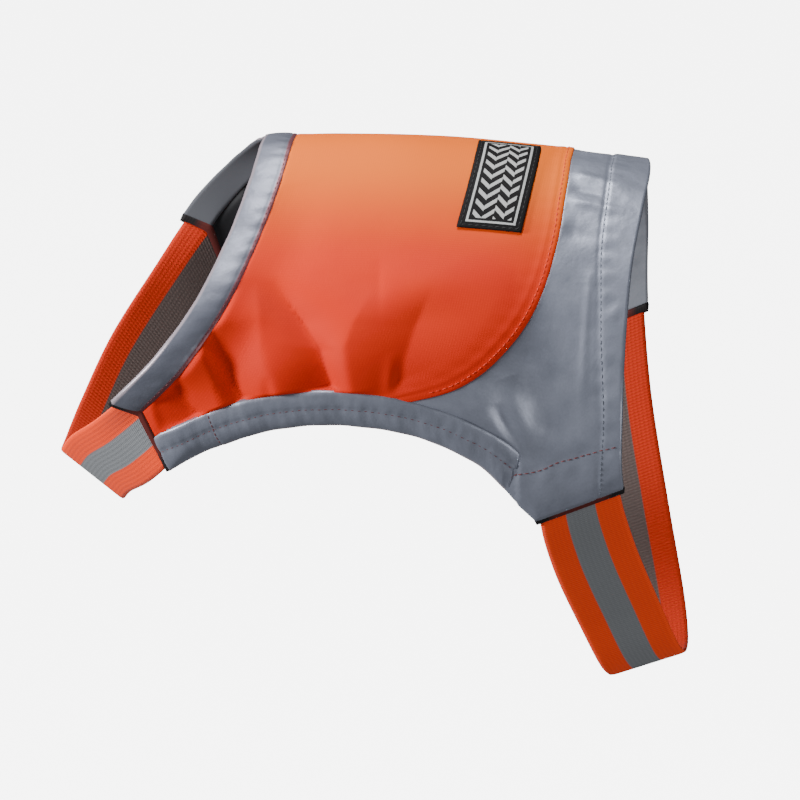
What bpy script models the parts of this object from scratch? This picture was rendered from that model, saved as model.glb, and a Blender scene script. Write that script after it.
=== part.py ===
"""Reflective dog vest in the form it has when worn: a back panel, a rear panel, edge bands and two straps.

Metres, +X towards the tail, +Y to the animal's right, +Z up. The origin is on the inner side of the
cloth, over the middle of the back. Tables are in millimetres and are turned into metres by MM.

A place on the cloth is given by two numbers. "along" is how far behind the neck edge the place's
column of cloth starts on the spine, in mm. "across" is how far down that column it lies: 0 on the
spine, 1 on the lower edge.
"""
import math

import bmesh
import bpy
import numpy as np

MM = 0.001

# Cloth and webbing
BACK_LENGTH = 184.0        # neck edge to tail edge, on the spine
CROWN = 5.5                # the spine's rise between its two ends
CLOTH = 1.6                # one layer of coated cloth with its backing
DOUBLED = 2.4              # cloth folded on itself: bands, hem and strap casing
WEBBING = 2.0
TAPE = 1.8
LABEL_CLOTH = 1.0
SEAM_GAP = 0.4             # between pieces that are sewn to each other

# Widths of the trims
NECK_BAND = 14.5
ARCH_BAND = 19.0
HEM = 12.0
CASING = 22.0
TAPE_SHOWS = 2.4           # of the tape that ends each strap
TAPE_GAP = 0.5             # from the tape to the cloth and to the strap
STRAP_INSET = 2.3          # the strap is this much narrower at each end of its casing

# The two closed edges, from the spine (turn 0) round one side to under the animal (turn 180)
NECK_RING = (
    # turn   back    side   drop
    (0,      0.0,    0.0,   -1.5),
    (20,    -1.5,   26.5,    5.5),
    (40,    -7.5,   56.0,   20.5),
    (60,   -17.5,   86.0,   37.5),
    (80,   -33.5,  102.5,   58.0),
    (100,  -53.0,  101.0,   81.5),
    (120,  -70.0,   79.5,  107.0),
    (140,  -87.0,   52.0,  132.5),
    (160,  -98.0,   25.5,  156.0),
    (180, -101.5,    0.0,  165.0),
)
TAIL_RING = (
    # turn   back    side   drop
    (0,    184.0,    0.0,    2.5),
    (20,   182.5,   26.0,    8.0),
    (40,   180.0,   53.5,   23.0),
    (60,   179.5,   79.0,   46.0),
    (80,   180.0,   95.0,   76.5),
    (100,  181.0,   93.5,  114.5),
    (120,  187.0,   71.0,  159.0),
    (140,  198.0,   46.0,  207.0),
    (160,  208.5,   23.5,  248.5),
    (180,  212.0,    0.0,  262.5),
)
NECK_CORNER = 103.6        # turn at which the cloth ends on each ring and the strap begins
TAIL_CORNER = 102.2

# Lower edge of one side: the arch over the front leg, between its two pointed ends
ARCH_EDGE = (
    # along  back    side   drop
    (31.0,  -31.0,   93.0, 123.0),
    (38.0,  -16.5,   94.5, 112.5),
    (48.0,    3.0,   97.5, 101.5),
    (65.0,   29.0,   99.5,  92.0),
    (85.0,   57.5,  100.0,  89.5),
    (105.0,  81.0,   99.3,  92.5),
    (121.0, 101.5,   98.0, 100.0),
    (136.0, 120.0,   95.5, 113.5),
    (146.0, 134.0,   92.0, 131.5),
    (151.0, 141.5,   90.5, 140.0),
)
NECK_BAND_FOOT = (-42.5, 97.0, 90.5)   # back, side, drop of the neck band's inner lower corner
EDGE_PULL = 3              # how close to the lower edge its own shape takes over

# Curved seam between the back panel and the rear panel
REAR_SEAM = (
    # across  along
    (0.00,   145.5),
    (0.20,   146.7),
    (0.36,   147.6),
    (0.46,   145.8),
    (0.57,   140.6),
    (0.66,   133.7),
    (0.75,   124.4),
    (0.82,   113.8),
    (0.88,    99.5),
    (0.95,    79.0),
)
BAND_END = 142.5           # along, where the arch band runs under the strap casing
CASING_TOP = 0.86          # across, where the casing starts on the tail edge

# Cross lines of the straps under the chest and the belly, from the ring to the strap's other edge
CHEST_CROSS = (30.5, -24.0)            # back and rise
BELLY_CROSS = (-36.0, -16.5)

# Folds that rise from the arch bands, where the cloth is pulled towards the neck. foot is where a
# fold starts, along the band; lean is how far it runs forward for each mm that it rises.
FOLD_START = 5.0           # distance over which a fold grows out of a flat seam
FOLDS = (
    # side  foot    length  lean  spread  height
    (-1,    29.0,   24.0,   1.3,   4.5,    2.2),
    (-1,    46.0,   40.0,   1.0,   5.0,    2.6),
    (-1,    61.5,   46.0,   0.9,   6.0,   -2.2),
    (-1,    77.0,   46.0,   0.95,  5.5,    2.6),
    (-1,    87.0,   50.0,   0.3,   7.5,   -1.4),
    (1,     32.0,   26.0,   1.2,   5.0,    2.0),
    (1,     52.0,   42.0,   0.9,   5.5,    2.5),
    (1,     68.0,   40.0,   0.8,   6.5,   -2.0),
    (1,     83.0,   36.0,   0.8,   5.5,    2.2),
)

# Label on the left of the spine
LABEL_ALONG = (103.0, 132.0)
LABEL_REACH = (-50.5, 13.0)            # mm from the spine, down the left side and over to the right

# Squares of cloth along each edge that two pieces share
SEAM_CELLS = 24            # spine to arch band
SLIVER_CELLS = 3           # neck band to arch band, on the chest strap
BAND_FRONT_CELLS = 26      # chest strap to rear seam
BAND_REAR_CELLS = 10       # rear seam to strap casing
BAND_END_CELLS = 3
REAR_CELLS = (3, 7)        # tail side of the rear panel: before and after its lower point
CHEST_CELLS = 20           # cloth to the middle of the strap
BELLY_CELLS = 27
ACROSS_STRAP = 4
LABEL_CELLS = (5, 12)
COLUMN = 160.0             # usual length of a column of cloth, spine to lower edge
COLUMN_LEAN = 0.9          # the back panel's columns lean with its folds near the arch


# ---- Curves worked out from the tables ----

def smooth(rows, at):
    """Values on a smooth curve through the rows; the first column says where each row lies."""
    rows = np.array(rows, float)
    place, values = rows[:, 0], rows[:, 1:]
    slope = np.gradient(values, place, axis=0)
    at = np.asarray(at, float)
    i = np.clip(np.searchsorted(place, at) - 1, 0, len(place) - 2)
    step = (place[i + 1] - place[i])[..., None]
    f = (at - place[i])[..., None] / step
    return ((1 + 2 * f) * (1 - f) ** 2 * values[i] + f * (1 - f) ** 2 * step * slope[i]
            + f * f * (3 - 2 * f) * values[i + 1] - f * f * (1 - f) * step * slope[i + 1])


def ring_point(ring, turn):
    """Points of a closed edge, on the right side, for turns from 0 to 180."""
    turn_b, back_b, side_b, drop_b = ring[1]
    turn_y, back_y, side_y, drop_y = ring[-2]
    rows = ((-turn_b, back_b, -side_b, drop_b),) + ring + ((360 - turn_y, back_y, -side_y, drop_y),)
    back, side, drop = np.moveaxis(smooth(rows, turn), -1, 0)
    return np.stack((back, side, -drop), -1)


NECK_FOOT = ring_point(NECK_RING, NECK_CORNER)
TAIL_FOOT = ring_point(TAIL_RING, TAIL_CORNER)
BAND_FOOT = np.array(NECK_BAND_FOOT) * (1, 1, -1)
FRONT_POINT = np.array(ARCH_EDGE[0][1:]) * (1, 1, -1)
REAR_POINT = np.array(ARCH_EDGE[-1][1:]) * (1, 1, -1)
ARCH_START, ARCH_STOP = ARCH_EDGE[0][0], ARCH_EDGE[-1][0]


def lower_edge(along):
    """The right side's lower edge: neck band's end, front end, arch, and rear end."""
    along = np.asarray(along, float)[..., None]
    arch = smooth(ARCH_EDGE, np.clip(along[..., 0], ARCH_START, ARCH_STOP)) * (1, 1, -1)
    band = NECK_FOOT + (BAND_FOOT - NECK_FOOT) * along / NECK_BAND
    front = BAND_FOOT + (FRONT_POINT - BAND_FOOT) * (along - NECK_BAND) / (ARCH_START - NECK_BAND)
    rear = REAR_POINT + (TAIL_FOOT - REAR_POINT) * (along - ARCH_STOP) / (BACK_LENGTH - ARCH_STOP)
    return np.select((along <= NECK_BAND, along <= ARCH_START, along <= ARCH_STOP),
                     (band, front, arch), rear)


def cloth_point(along, across):
    """Middle of the cloth's wall at a place on it; across is negative on the left side."""
    along, across = np.broadcast_arrays(np.asarray(along, float), np.asarray(across, float))
    share = (along / BACK_LENGTH)[..., None]
    down = np.abs(across)[..., None]
    point = (ring_point(NECK_RING, down[..., 0] * NECK_CORNER) * (1 - share)
             + ring_point(TAIL_RING, down[..., 0] * TAIL_CORNER) * share)
    point[..., 2:] += 4 * CROWN * share * (1 - share) * (1 - down ** 2)
    point += down ** EDGE_PULL * (lower_edge(along) - NECK_FOOT * (1 - share) - TAIL_FOOT * share)
    point[..., 1] *= np.where(across < 0, -1, 1)
    return point


def cloth_normal(along, across):
    """Outward direction of the cloth at a place on it."""
    reach_along, reach_across = 1.0, 0.01
    run = cloth_point(along + reach_along, across) - cloth_point(along - reach_along, across)
    fall = cloth_point(along, across + reach_across) - cloth_point(along, across - reach_across)
    normal = np.cross(run, fall)
    return normal / np.linalg.norm(normal, axis=-1, keepdims=True)


# ---- Outlines of the pieces on the cloth ----

def spread(path, cells):
    """Evenly spaced places on a path, by real length; a path is a list of (along, across)."""
    path = np.array(path, float)
    steps = np.linalg.norm(np.diff(cloth_point(path[:, 0], path[:, 1]), axis=0), axis=1)
    length = np.concatenate(((0,), np.cumsum(steps)))
    share = np.linspace(0, length[-1], cells + 1)
    return np.stack([np.interp(share, length, column) for column in path.T], -1)


def line(start, stop, cells):
    """Evenly spaced places on the straight path between two places."""
    return spread(np.linspace(start, stop, 60), cells)


def joined(*paths):
    """Paths that follow each other, as one."""
    return np.concatenate([paths[0]] + [path[1:] for path in paths[1:]])


def moved(path, distance):
    """A path moved sideways on the cloth, in mm. A positive distance moves one that runs down
    towards the neck, and one that runs back downwards."""
    along, across = path.T
    reach_along, reach_across = 1.0, 0.01
    by_along = (cloth_point(along + reach_along, across) - cloth_point(along, across)) / reach_along
    by_across = (cloth_point(along, across) - cloth_point(along, across - reach_across)) / reach_across
    run = np.gradient(cloth_point(along, across), axis=0)
    side = np.cross(cloth_normal(along, across), run)
    side *= distance / np.linalg.norm(side, axis=-1, keepdims=True)
    basis = np.stack((by_along, by_across), -1)
    step = [np.linalg.lstsq(b, s, rcond=None)[0] for b, s in zip(basis, side)]
    return np.minimum(path + step, (BACK_LENGTH, 1.0))


def band_top(along):
    """How far across the arch band's upper edge lies, ARCH_BAND from the arch."""
    arch = lower_edge(np.linspace(ARCH_START, ARCH_STOP, 160))
    across = np.linspace(0.75, 1.0, 120)
    away = np.linalg.norm(cloth_point(along, across)[:, None] - arch[None], axis=-1).min(axis=1)
    return np.interp(-ARCH_BAND, -away, across)


BAND_LENGTH = np.linalg.norm(BAND_FOOT - NECK_FOOT)
FRONT_LENGTH = np.linalg.norm(FRONT_POINT - BAND_FOOT)
BAND_START = ARCH_START - (ARCH_START - NECK_BAND) * ARCH_BAND / FRONT_LENGTH
BAND_TOP = [(along, band_top(along)) for along in np.arange(BAND_START + 0.8, BAND_END + 3.0, 0.8)]
BAND_TOP = np.array([(BAND_START, 1.0)] + BAND_TOP)
SEAM_FOOT = int(np.argmax(BAND_TOP[:, 0] > smooth(REAR_SEAM, BAND_TOP[:, 1])[:, 0]))
SEAM_PATH = [(float(smooth(REAR_SEAM, across)[0]), across)
             for across in np.linspace(0, BAND_TOP[SEAM_FOOT][1] - 0.01, 60)]

NECK_SEAM = line((NECK_BAND, 0), (NECK_BAND, 1.0), SEAM_CELLS)
REAR_SEAM_LINE = spread(SEAM_PATH + [BAND_TOP[SEAM_FOOT]], SEAM_CELLS)
BAND_FRONT = spread(BAND_TOP[:SEAM_FOOT + 1], BAND_FRONT_CELLS)
BAND_REAR = spread(BAND_TOP[SEAM_FOOT:], BAND_REAR_CELLS)
BAND_END_LINE = line(BAND_TOP[-1], (BAND_END, 1.0), BAND_END_CELLS)
HALF_GAP = SEAM_GAP / 2


def patch(front, rear, spine, lower):
    """Places filling the area inside four paths, as an array of columns from the spine down."""
    q = np.linspace(0, 1, len(spine))[:, None, None]
    p = np.linspace(0, 1, len(front))[None, :, None]
    front, rear, spine, lower = front[None], rear[None], spine[:, None], lower[:, None]
    corners = ((1 - q) * ((1 - p) * spine[:1] + p * lower[:1])
               + q * ((1 - p) * spine[-1:] + p * lower[-1:]))
    return (1 - q) * front + q * rear + (1 - p) * spine + p * lower - corners


def fold_height(along, across):
    """How far the folds lift the back panel from the plain form."""
    height = np.zeros(np.shape(along))
    foot_across = np.interp(along, BAND_TOP[:, 0], BAND_TOP[:, 1])
    rise = (foot_across - np.abs(across)) * COLUMN
    free = 1 - np.exp(-(np.maximum(along - NECK_BAND, 0) / FOLD_START) ** 2)
    for side, foot, length, lean, width, lift in FOLDS:
        off = along - (foot - lean * rise)
        share = np.clip(rise / length, 0, 1)
        taper = np.sin(math.pi * share ** 0.6) * (1 - np.exp(-(share * length / FOLD_START) ** 2))
        bump = lift * np.exp(-(off / width) ** 2) * taper * free
        height += np.where(np.sign(across) == side, bump, 0)
    return height


# ---- Making objects ----

def clear_scene():
    for obj in list(bpy.data.objects):
        bpy.data.objects.remove(obj, do_unlink=True)


def new_collection(name):
    collection = bpy.data.collections.new(name)
    bpy.context.scene.collection.children.link(collection)
    return collection


def finish_material(name, colour, roughness, metallic=0.0):
    material = bpy.data.materials.new(name)
    material.use_nodes = True
    shader = material.node_tree.nodes["Principled BSDF"]
    shader.inputs["Base Color"].default_value = (*colour, 1.0)
    shader.inputs["Roughness"].default_value = roughness
    shader.inputs["Metallic"].default_value = metallic
    return material


def in_metres(points):
    """From mm behind the neck edge to metres from the inner side of the back's middle."""
    middle = cloth_point(BACK_LENGTH / 2, 0) - (0, 0, CLOTH / 2)
    return (points - middle) * MM


def sheet(name, points, material, wall, mirror=False, doubled=None):
    """One piece of cloth: a grid bent to the given points, mirrored if it is half a piece, and
    given its thickness. "doubled" says where it is folded on itself, from 0 to 1."""
    rows, columns = points.shape[:2]
    bm = bmesh.new()
    bmesh.ops.create_grid(bm, x_segments=rows - 1, y_segments=columns - 1, size=0.5)
    bm.verts.ensure_lookup_table()
    place = in_metres(points)
    weights = []
    for vert in bm.verts:
        i = round((vert.co.x + 0.5) * (rows - 1))
        j = round((vert.co.y + 0.5) * (columns - 1))
        vert.co = place[i, j]
        weights.append(0.0 if doubled is None else doubled[i, j])
    mesh = bpy.data.meshes.new(name)
    bm.to_mesh(mesh)
    bm.free()
    mesh.shade_smooth()
    mesh.set_sharp_from_angle(angle=math.radians(50))
    mesh.materials.append(material)
    obj = bpy.data.objects.new(name, mesh)
    VEST.objects.link(obj)
    if mirror:
        mirrored = obj.modifiers.new("both sides", "MIRROR")
        mirrored.use_axis = (False, True, False)
        mirrored.merge_threshold = 0.0001
    thick = obj.modifiers.new("wall", "SOLIDIFY")
    thick.thickness = wall * MM
    thick.offset = 0.0
    if doubled is not None:
        group = obj.vertex_groups.new(name="doubled")
        for index, weight in enumerate(weights):
            group.add([index], float(weight), "REPLACE")
        thick.vertex_group = group.name
        thick.thickness_vertex_group = CLOTH / wall
    return obj


# ---- The pieces ----

def make_back_panel(material):
    """Orange cloth over the back and both sides, with the folds above the leg arches."""
    front = moved(NECK_SEAM, -HALF_GAP)
    front[-1] = NECK_BAND + SEAM_GAP, 1.0
    rear = moved(REAR_SEAM_LINE, HALF_GAP)
    seam = moved(BAND_FRONT, -HALF_GAP)
    seam[0] = BAND_START - HALF_GAP, 1.0
    rear[-1] += seam[-1] - BAND_FRONT[-1]
    seam[-1] = rear[-1]
    sliver = line(front[-1], seam[0], SLIVER_CELLS)
    lower = joined(sliver, seam)
    half = patch(front, rear, line(front[0], rear[0], len(lower) - 1), lower)
    back = np.linspace(0, 1, len(lower))[:, None]
    down = np.linspace(0, 1, len(front))[None]
    half[..., 0] -= COLUMN_LEAN * COLUMN * (1 - down) * down ** 4 * np.sin(math.pi * back)
    both = np.concatenate((half[:, :0:-1] * (1, -1), half), axis=1)
    along, across = both[..., 0], both[..., 1]
    lift = fold_height(along, across)[..., None]
    points = cloth_point(along, across) + lift * cloth_normal(along, across)
    return sheet("back_panel", points, material, CLOTH)


def make_rear_panel(material):
    """Grey cloth round the tail end, hemmed along the tail edge and turned up over the strap."""
    front = moved(joined(REAR_SEAM_LINE, BAND_REAR, BAND_END_LINE), -HALF_GAP)
    front[-1] = BAND_END + HALF_GAP, 1.0
    rear = joined(line((BACK_LENGTH, 0), (BACK_LENGTH, CASING_TOP), len(front) - 1 - BAND_END_CELLS),
                  line((BACK_LENGTH, CASING_TOP), (BACK_LENGTH, 1.0), BAND_END_CELLS))
    lower = joined(line(front[-1], (ARCH_STOP, 1.0), REAR_CELLS[0]),
                   line((ARCH_STOP, 1.0), rear[-1], REAR_CELLS[1]))
    half = patch(front, rear, line(front[0], rear[0], len(lower) - 1), lower)
    along, across = half[..., 0], half[..., 1]
    points = cloth_point(along, across)
    end = REAR_POINT + (TAIL_FOOT - REAR_POINT) * np.linspace(0, 1, 30)[:, None]
    above = np.linalg.norm(points[:, :, None] - end, axis=-1).min(axis=-1)
    doubled = (along > BACK_LENGTH - HEM) | (above < CASING)
    return sheet("rear_panel", points, material, DOUBLED, mirror=True, doubled=doubled)


def make_neck_band(material):
    """Folded grey band that binds the neck edge down to the chest strap."""
    edge = line((0, 0), (0, 1.0), SEAM_CELLS)
    seam = moved(NECK_SEAM, HALF_GAP)
    seam[-1] = NECK_BAND - SEAM_GAP, 1.0
    down = np.linspace(0, 1, 4)[:, None, None]
    half = edge * (1 - down) + seam * down
    points = cloth_point(half[..., 0], half[..., 1])
    return sheet("neck_band", points, material, DOUBLED, mirror=True)


def make_arch_band(name, side, material):
    """Folded grey band that binds one leg arch, from the chest strap to the strap casing."""
    top = moved(joined(BAND_FRONT, BAND_REAR), HALF_GAP)
    top[0] = BAND_START + HALF_GAP, 1.0
    top[-1] -= (HALF_GAP, 0)
    bottom = line((ARCH_START, 1.0), (BAND_END - HALF_GAP, 1.0), len(top) - 1)
    down = np.linspace(0, 1, 4)[None, :, None]
    places = top[:, None] * (1 - down) + bottom[:, None] * down
    points = cloth_point(places[..., 0], side * places[..., 1])
    return sheet(name, points, material, DOUBLED)


def end_line(front, share):
    """Points on the edge that a strap hangs from, on the right side, from the ring inwards."""
    if not front:
        return TAIL_FOOT + (REAR_POINT - TAIL_FOOT) * share
    bend = BAND_LENGTH / (BAND_LENGTH + FRONT_LENGTH)
    neck = (BAND_FOOT - NECK_FOOT) * np.clip(share / bend, 0, 1)
    return NECK_FOOT + neck + (FRONT_POINT - BAND_FOOT) * np.clip((share - bend) / (1 - bend), 0, 1)


def strap_point(front, turn, share):
    """Middle of a strap's wall on the right side; turn runs from the cloth's corner to 180."""
    ring, corner, foot, point, cross = (
        (NECK_RING, NECK_CORNER, NECK_FOOT, FRONT_POINT, CHEST_CROSS) if front
        else (TAIL_RING, TAIL_CORNER, TAIL_FOOT, REAR_POINT, BELLY_CROSS))
    turn, share = np.broadcast_arrays(turn, share)
    turn, share = turn[..., None], share[..., None]
    gone = (turn - corner) / (180 - corner)
    ease = gone * gone * (3 - 2 * gone)
    under = np.array((cross[0], 0.0, cross[1]))
    width = (point - foot) * (1 - ease) + under * ease
    ruled = ring_point(ring, turn[..., 0]) + width * share
    start = end_line(front, share) - foot - (point - foot) * share
    fade = np.clip(1 - gone * 3, 0, 1) ** 2
    return ruled + start * fade


def turn_after(front, distance):
    """The turn at a distance in mm past the cloth's corner, along the ring."""
    ring, corner = (NECK_RING, NECK_CORNER) if front else (TAIL_RING, TAIL_CORNER)
    turns = np.linspace(corner, 180, 400)
    steps = np.linalg.norm(np.diff(ring_point(ring, turns), axis=0), axis=1)
    return np.interp(distance, np.concatenate(((0,), np.cumsum(steps))), turns)


def across_shares(front, inset):
    """Lines along a strap, as shares of its width, with one at the bend of the chest's end."""
    if not front:
        return np.linspace(0, 1, ACROSS_STRAP + 1)
    bend = BAND_LENGTH / (BAND_LENGTH + FRONT_LENGTH)
    bend = (bend - inset) / (1 - 2 * inset)
    return np.concatenate(((0, bend / 2), np.linspace(bend, 1, ACROSS_STRAP)))


def make_strap(name, front, cells, material):
    """Elastic webbing from one side of the vest, under the animal, to the other side."""
    first = float(turn_after(front, TAPE_SHOWS + 2 * TAPE_GAP))
    gone = np.linspace(0, 1, cells + 1)[:, None]
    foot, point = (NECK_FOOT, FRONT_POINT) if front else (TAIL_FOOT, REAR_POINT)
    inset = STRAP_INSET / np.linalg.norm(point - foot)
    shares = across_shares(front, inset)[None]
    inset = inset * (1 - gone) ** 2
    points = strap_point(front, first + (180 - first) * gone, inset + (1 - 2 * inset) * shares)
    return sheet(name, points, material, WEBBING, mirror=True)


def make_tape(name, front, side, material):
    """Black tape at one end of a strap, which shows below the edge of the cloth."""
    low = turn_after(front, np.array((TAPE_GAP, TAPE_GAP + TAPE_SHOWS)))[:, None]
    points = strap_point(front, low, across_shares(front, 0)[None])
    return sheet(name, points * (1, side, 1), material, TAPE)


def make_label(material):
    """Woven label on the back panel, made from the panel's points and moved out."""
    middle = sum(LABEL_ALONG) / 2
    column = np.linspace(-0.8, 0.8, 161)
    steps = np.linalg.norm(np.diff(cloth_point(middle, column), axis=0), axis=1)
    reach = np.concatenate(((0,), np.cumsum(steps)))
    reach -= np.interp(0, column, reach)
    rows = np.linspace(*LABEL_REACH, LABEL_CELLS[1] + 1)
    across = np.interp(rows, reach, column)[None]
    along = np.linspace(*LABEL_ALONG, LABEL_CELLS[0] + 1)[:, None]
    along, across = np.broadcast_arrays(along, across)
    out = CLOTH / 2 + SEAM_GAP + LABEL_CLOTH / 2
    points = cloth_point(along, across) + out * cloth_normal(along, across)
    return sheet("label", points, material, LABEL_CLOTH)


clear_scene()
VEST = new_collection("reflective dog vest")

orange_cloth = finish_material("hi-vis orange polyester", (0.85, 0.07, 0.01), 0.6)
grey_cloth = finish_material("reflective grey cloth", (0.22, 0.24, 0.28), 0.45)
elastic = finish_material("orange elastic webbing", (0.80, 0.05, 0.01), 0.7)
black_tape = finish_material("black polyester tape", (0.01, 0.01, 0.012), 0.7)
woven_label = finish_material("black woven label", (0.02, 0.02, 0.02), 0.6)

make_back_panel(orange_cloth)
make_rear_panel(grey_cloth)
make_neck_band(grey_cloth)
make_strap("chest_strap", True, CHEST_CELLS, elastic)
make_strap("belly_strap", False, BELLY_CELLS, elastic)
for side_name, side in (("left", -1), ("right", 1)):
    make_arch_band("arch_band_" + side_name, side, grey_cloth)
    make_tape("chest_tape_" + side_name, True, side, black_tape)
    make_tape("belly_tape_" + side_name, False, side, black_tape)
make_label(woven_label)
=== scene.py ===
"""Looks of the reflective dog vest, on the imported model.

Metres, +X towards the tail, +Y to the animal's right, +Z up. Sizes of the cloth are in millimetres.
A place on the cloth is "along", how far behind the neck edge its column starts on the spine, and
"across", how far down that column it lies: 0 on the spine, 1 on the lower edge, negative on the left.
"""
import math

import bpy
import numpy as np
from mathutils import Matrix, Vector


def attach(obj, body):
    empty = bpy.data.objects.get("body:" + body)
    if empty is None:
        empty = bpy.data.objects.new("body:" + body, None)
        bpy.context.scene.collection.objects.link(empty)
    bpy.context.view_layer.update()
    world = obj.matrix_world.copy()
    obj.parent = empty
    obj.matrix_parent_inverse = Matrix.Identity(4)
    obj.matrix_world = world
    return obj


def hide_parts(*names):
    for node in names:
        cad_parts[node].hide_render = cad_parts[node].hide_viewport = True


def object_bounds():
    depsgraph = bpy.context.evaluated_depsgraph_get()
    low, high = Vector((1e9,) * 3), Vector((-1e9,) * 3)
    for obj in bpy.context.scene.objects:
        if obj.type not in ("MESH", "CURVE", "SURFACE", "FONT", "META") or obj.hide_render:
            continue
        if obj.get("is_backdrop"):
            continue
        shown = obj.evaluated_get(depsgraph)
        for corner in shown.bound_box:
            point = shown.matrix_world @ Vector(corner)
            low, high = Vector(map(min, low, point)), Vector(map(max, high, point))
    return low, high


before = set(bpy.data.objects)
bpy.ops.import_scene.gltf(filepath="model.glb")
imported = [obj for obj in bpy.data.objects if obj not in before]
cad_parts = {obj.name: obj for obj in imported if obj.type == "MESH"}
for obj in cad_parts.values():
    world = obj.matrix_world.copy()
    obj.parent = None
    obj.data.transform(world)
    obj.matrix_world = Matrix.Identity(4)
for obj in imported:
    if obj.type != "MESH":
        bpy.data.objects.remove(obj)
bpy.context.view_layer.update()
MM = 0.001


# ---- Back panel ----
# One piece of hi-vis orange polyester, plain woven and coated grey on the inside, that lies over the
# back and both sides. It is sewn under the edge bands, which pull it into folds above the leg arches.

BACK_LENGTH = 184.0
CROWN = 5.5
WALL = 1.6                 # cloth and its backing, as in the solids
NECK_BAND = 14.5
ARCH_BAND = 19.0
NECK_CORNER = 103.6
TAIL_CORNER = 102.2
NECK_BAND_FOOT = (-42.5, 97.0, 90.5)
EDGE_PULL = 3
BAND_END = 142.5
COLUMN = 160.0

NECK_RING = (
    # turn   back    side   drop
    (0,      0.0,    0.0,   -1.5),
    (20,    -1.5,   26.5,    5.5),
    (40,    -7.5,   56.0,   20.5),
    (60,   -17.5,   86.0,   37.5),
    (80,   -33.5,  102.5,   58.0),
    (100,  -53.0,  101.0,   81.5),
    (120,  -70.0,   79.5,  107.0),
    (140,  -87.0,   52.0,  132.5),
    (160,  -98.0,   25.5,  156.0),
    (180, -101.5,    0.0,  165.0),
)
TAIL_RING = (
    # turn   back    side   drop
    (0,    184.0,    0.0,    2.5),
    (20,   182.5,   26.0,    8.0),
    (40,   180.0,   53.5,   23.0),
    (60,   179.5,   79.0,   46.0),
    (80,   180.0,   95.0,   76.5),
    (100,  181.0,   93.5,  114.5),
    (120,  187.0,   71.0,  159.0),
    (140,  198.0,   46.0,  207.0),
    (160,  208.5,   23.5,  248.5),
    (180,  212.0,    0.0,  262.5),
)
ARCH_EDGE = (
    # along  back    side   drop
    (31.0,  -31.0,   93.0, 123.0),
    (38.0,  -16.5,   94.5, 112.5),
    (48.0,    3.0,   97.5, 101.5),
    (65.0,   29.0,   99.5,  92.0),
    (85.0,   57.5,  100.0,  89.5),
    (105.0,  81.0,   99.3,  92.5),
    (121.0, 101.5,   98.0, 100.0),
    (136.0, 120.0,   95.5, 113.5),
    (146.0, 134.0,   92.0, 131.5),
    (151.0, 141.5,   90.5, 140.0),
)
REAR_SEAM = (
    # across  along
    (0.00,   145.5),
    (0.20,   146.7),
    (0.36,   147.6),
    (0.46,   145.8),
    (0.57,   140.6),
    (0.66,   133.7),
    (0.75,   124.4),
    (0.82,   113.8),
    (0.88,    99.5),
    (0.95,    79.0),
)


def smooth(rows, at):
    """Values on a smooth curve through the rows; the first column says where each row lies."""
    rows = np.array(rows, float)
    place, values = rows[:, 0], rows[:, 1:]
    slope = np.gradient(values, place, axis=0)
    at = np.asarray(at, float)
    i = np.clip(np.searchsorted(place, at) - 1, 0, len(place) - 2)
    step = (place[i + 1] - place[i])[..., None]
    f = (at - place[i])[..., None] / step
    return ((1 + 2 * f) * (1 - f) ** 2 * values[i] + f * (1 - f) ** 2 * step * slope[i]
            + f * f * (3 - 2 * f) * values[i + 1] - f * f * (1 - f) * step * slope[i + 1])


def ring_point(ring, turn):
    """Points of a closed edge, on the right side, for turns from 0 to 180."""
    turn_b, back_b, side_b, drop_b = ring[1]
    turn_y, back_y, side_y, drop_y = ring[-2]
    rows = ((-turn_b, back_b, -side_b, drop_b),) + ring + ((360 - turn_y, back_y, -side_y, drop_y),)
    back, side, drop = np.moveaxis(smooth(rows, turn), -1, 0)
    return np.stack((back, side, -drop), -1)


NECK_FOOT = ring_point(NECK_RING, NECK_CORNER)
TAIL_FOOT = ring_point(TAIL_RING, TAIL_CORNER)
BAND_FOOT = np.array(NECK_BAND_FOOT) * (1, 1, -1)
FRONT_POINT = np.array(ARCH_EDGE[0][1:]) * (1, 1, -1)
REAR_POINT = np.array(ARCH_EDGE[-1][1:]) * (1, 1, -1)
ARCH_START, ARCH_STOP = ARCH_EDGE[0][0], ARCH_EDGE[-1][0]
BAND_LENGTH = np.linalg.norm(BAND_FOOT - NECK_FOOT)
FRONT_LENGTH = np.linalg.norm(FRONT_POINT - BAND_FOOT)
BAND_START = ARCH_START - (ARCH_START - NECK_BAND) * ARCH_BAND / FRONT_LENGTH


def lower_edge(along):
    """The right side's lower edge: neck band's end, front end, arch, and rear end."""
    along = np.asarray(along, float)[..., None]
    arch = smooth(ARCH_EDGE, np.clip(along[..., 0], ARCH_START, ARCH_STOP)) * (1, 1, -1)
    band = NECK_FOOT + (BAND_FOOT - NECK_FOOT) * along / NECK_BAND
    front = BAND_FOOT + (FRONT_POINT - BAND_FOOT) * (along - NECK_BAND) / (ARCH_START - NECK_BAND)
    rear = REAR_POINT + (TAIL_FOOT - REAR_POINT) * (along - ARCH_STOP) / (BACK_LENGTH - ARCH_STOP)
    return np.select((along <= NECK_BAND, along <= ARCH_START, along <= ARCH_STOP),
                     (band, front, arch), rear)


# Above the lower edge the cloth turns its corners gently, over this many mm to both sides.
CORNER_REACH = 13.0
CORNER_BLUR = [(step / 6, (6 - abs(step)) / 36) for step in range(-5, 6)]


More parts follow.
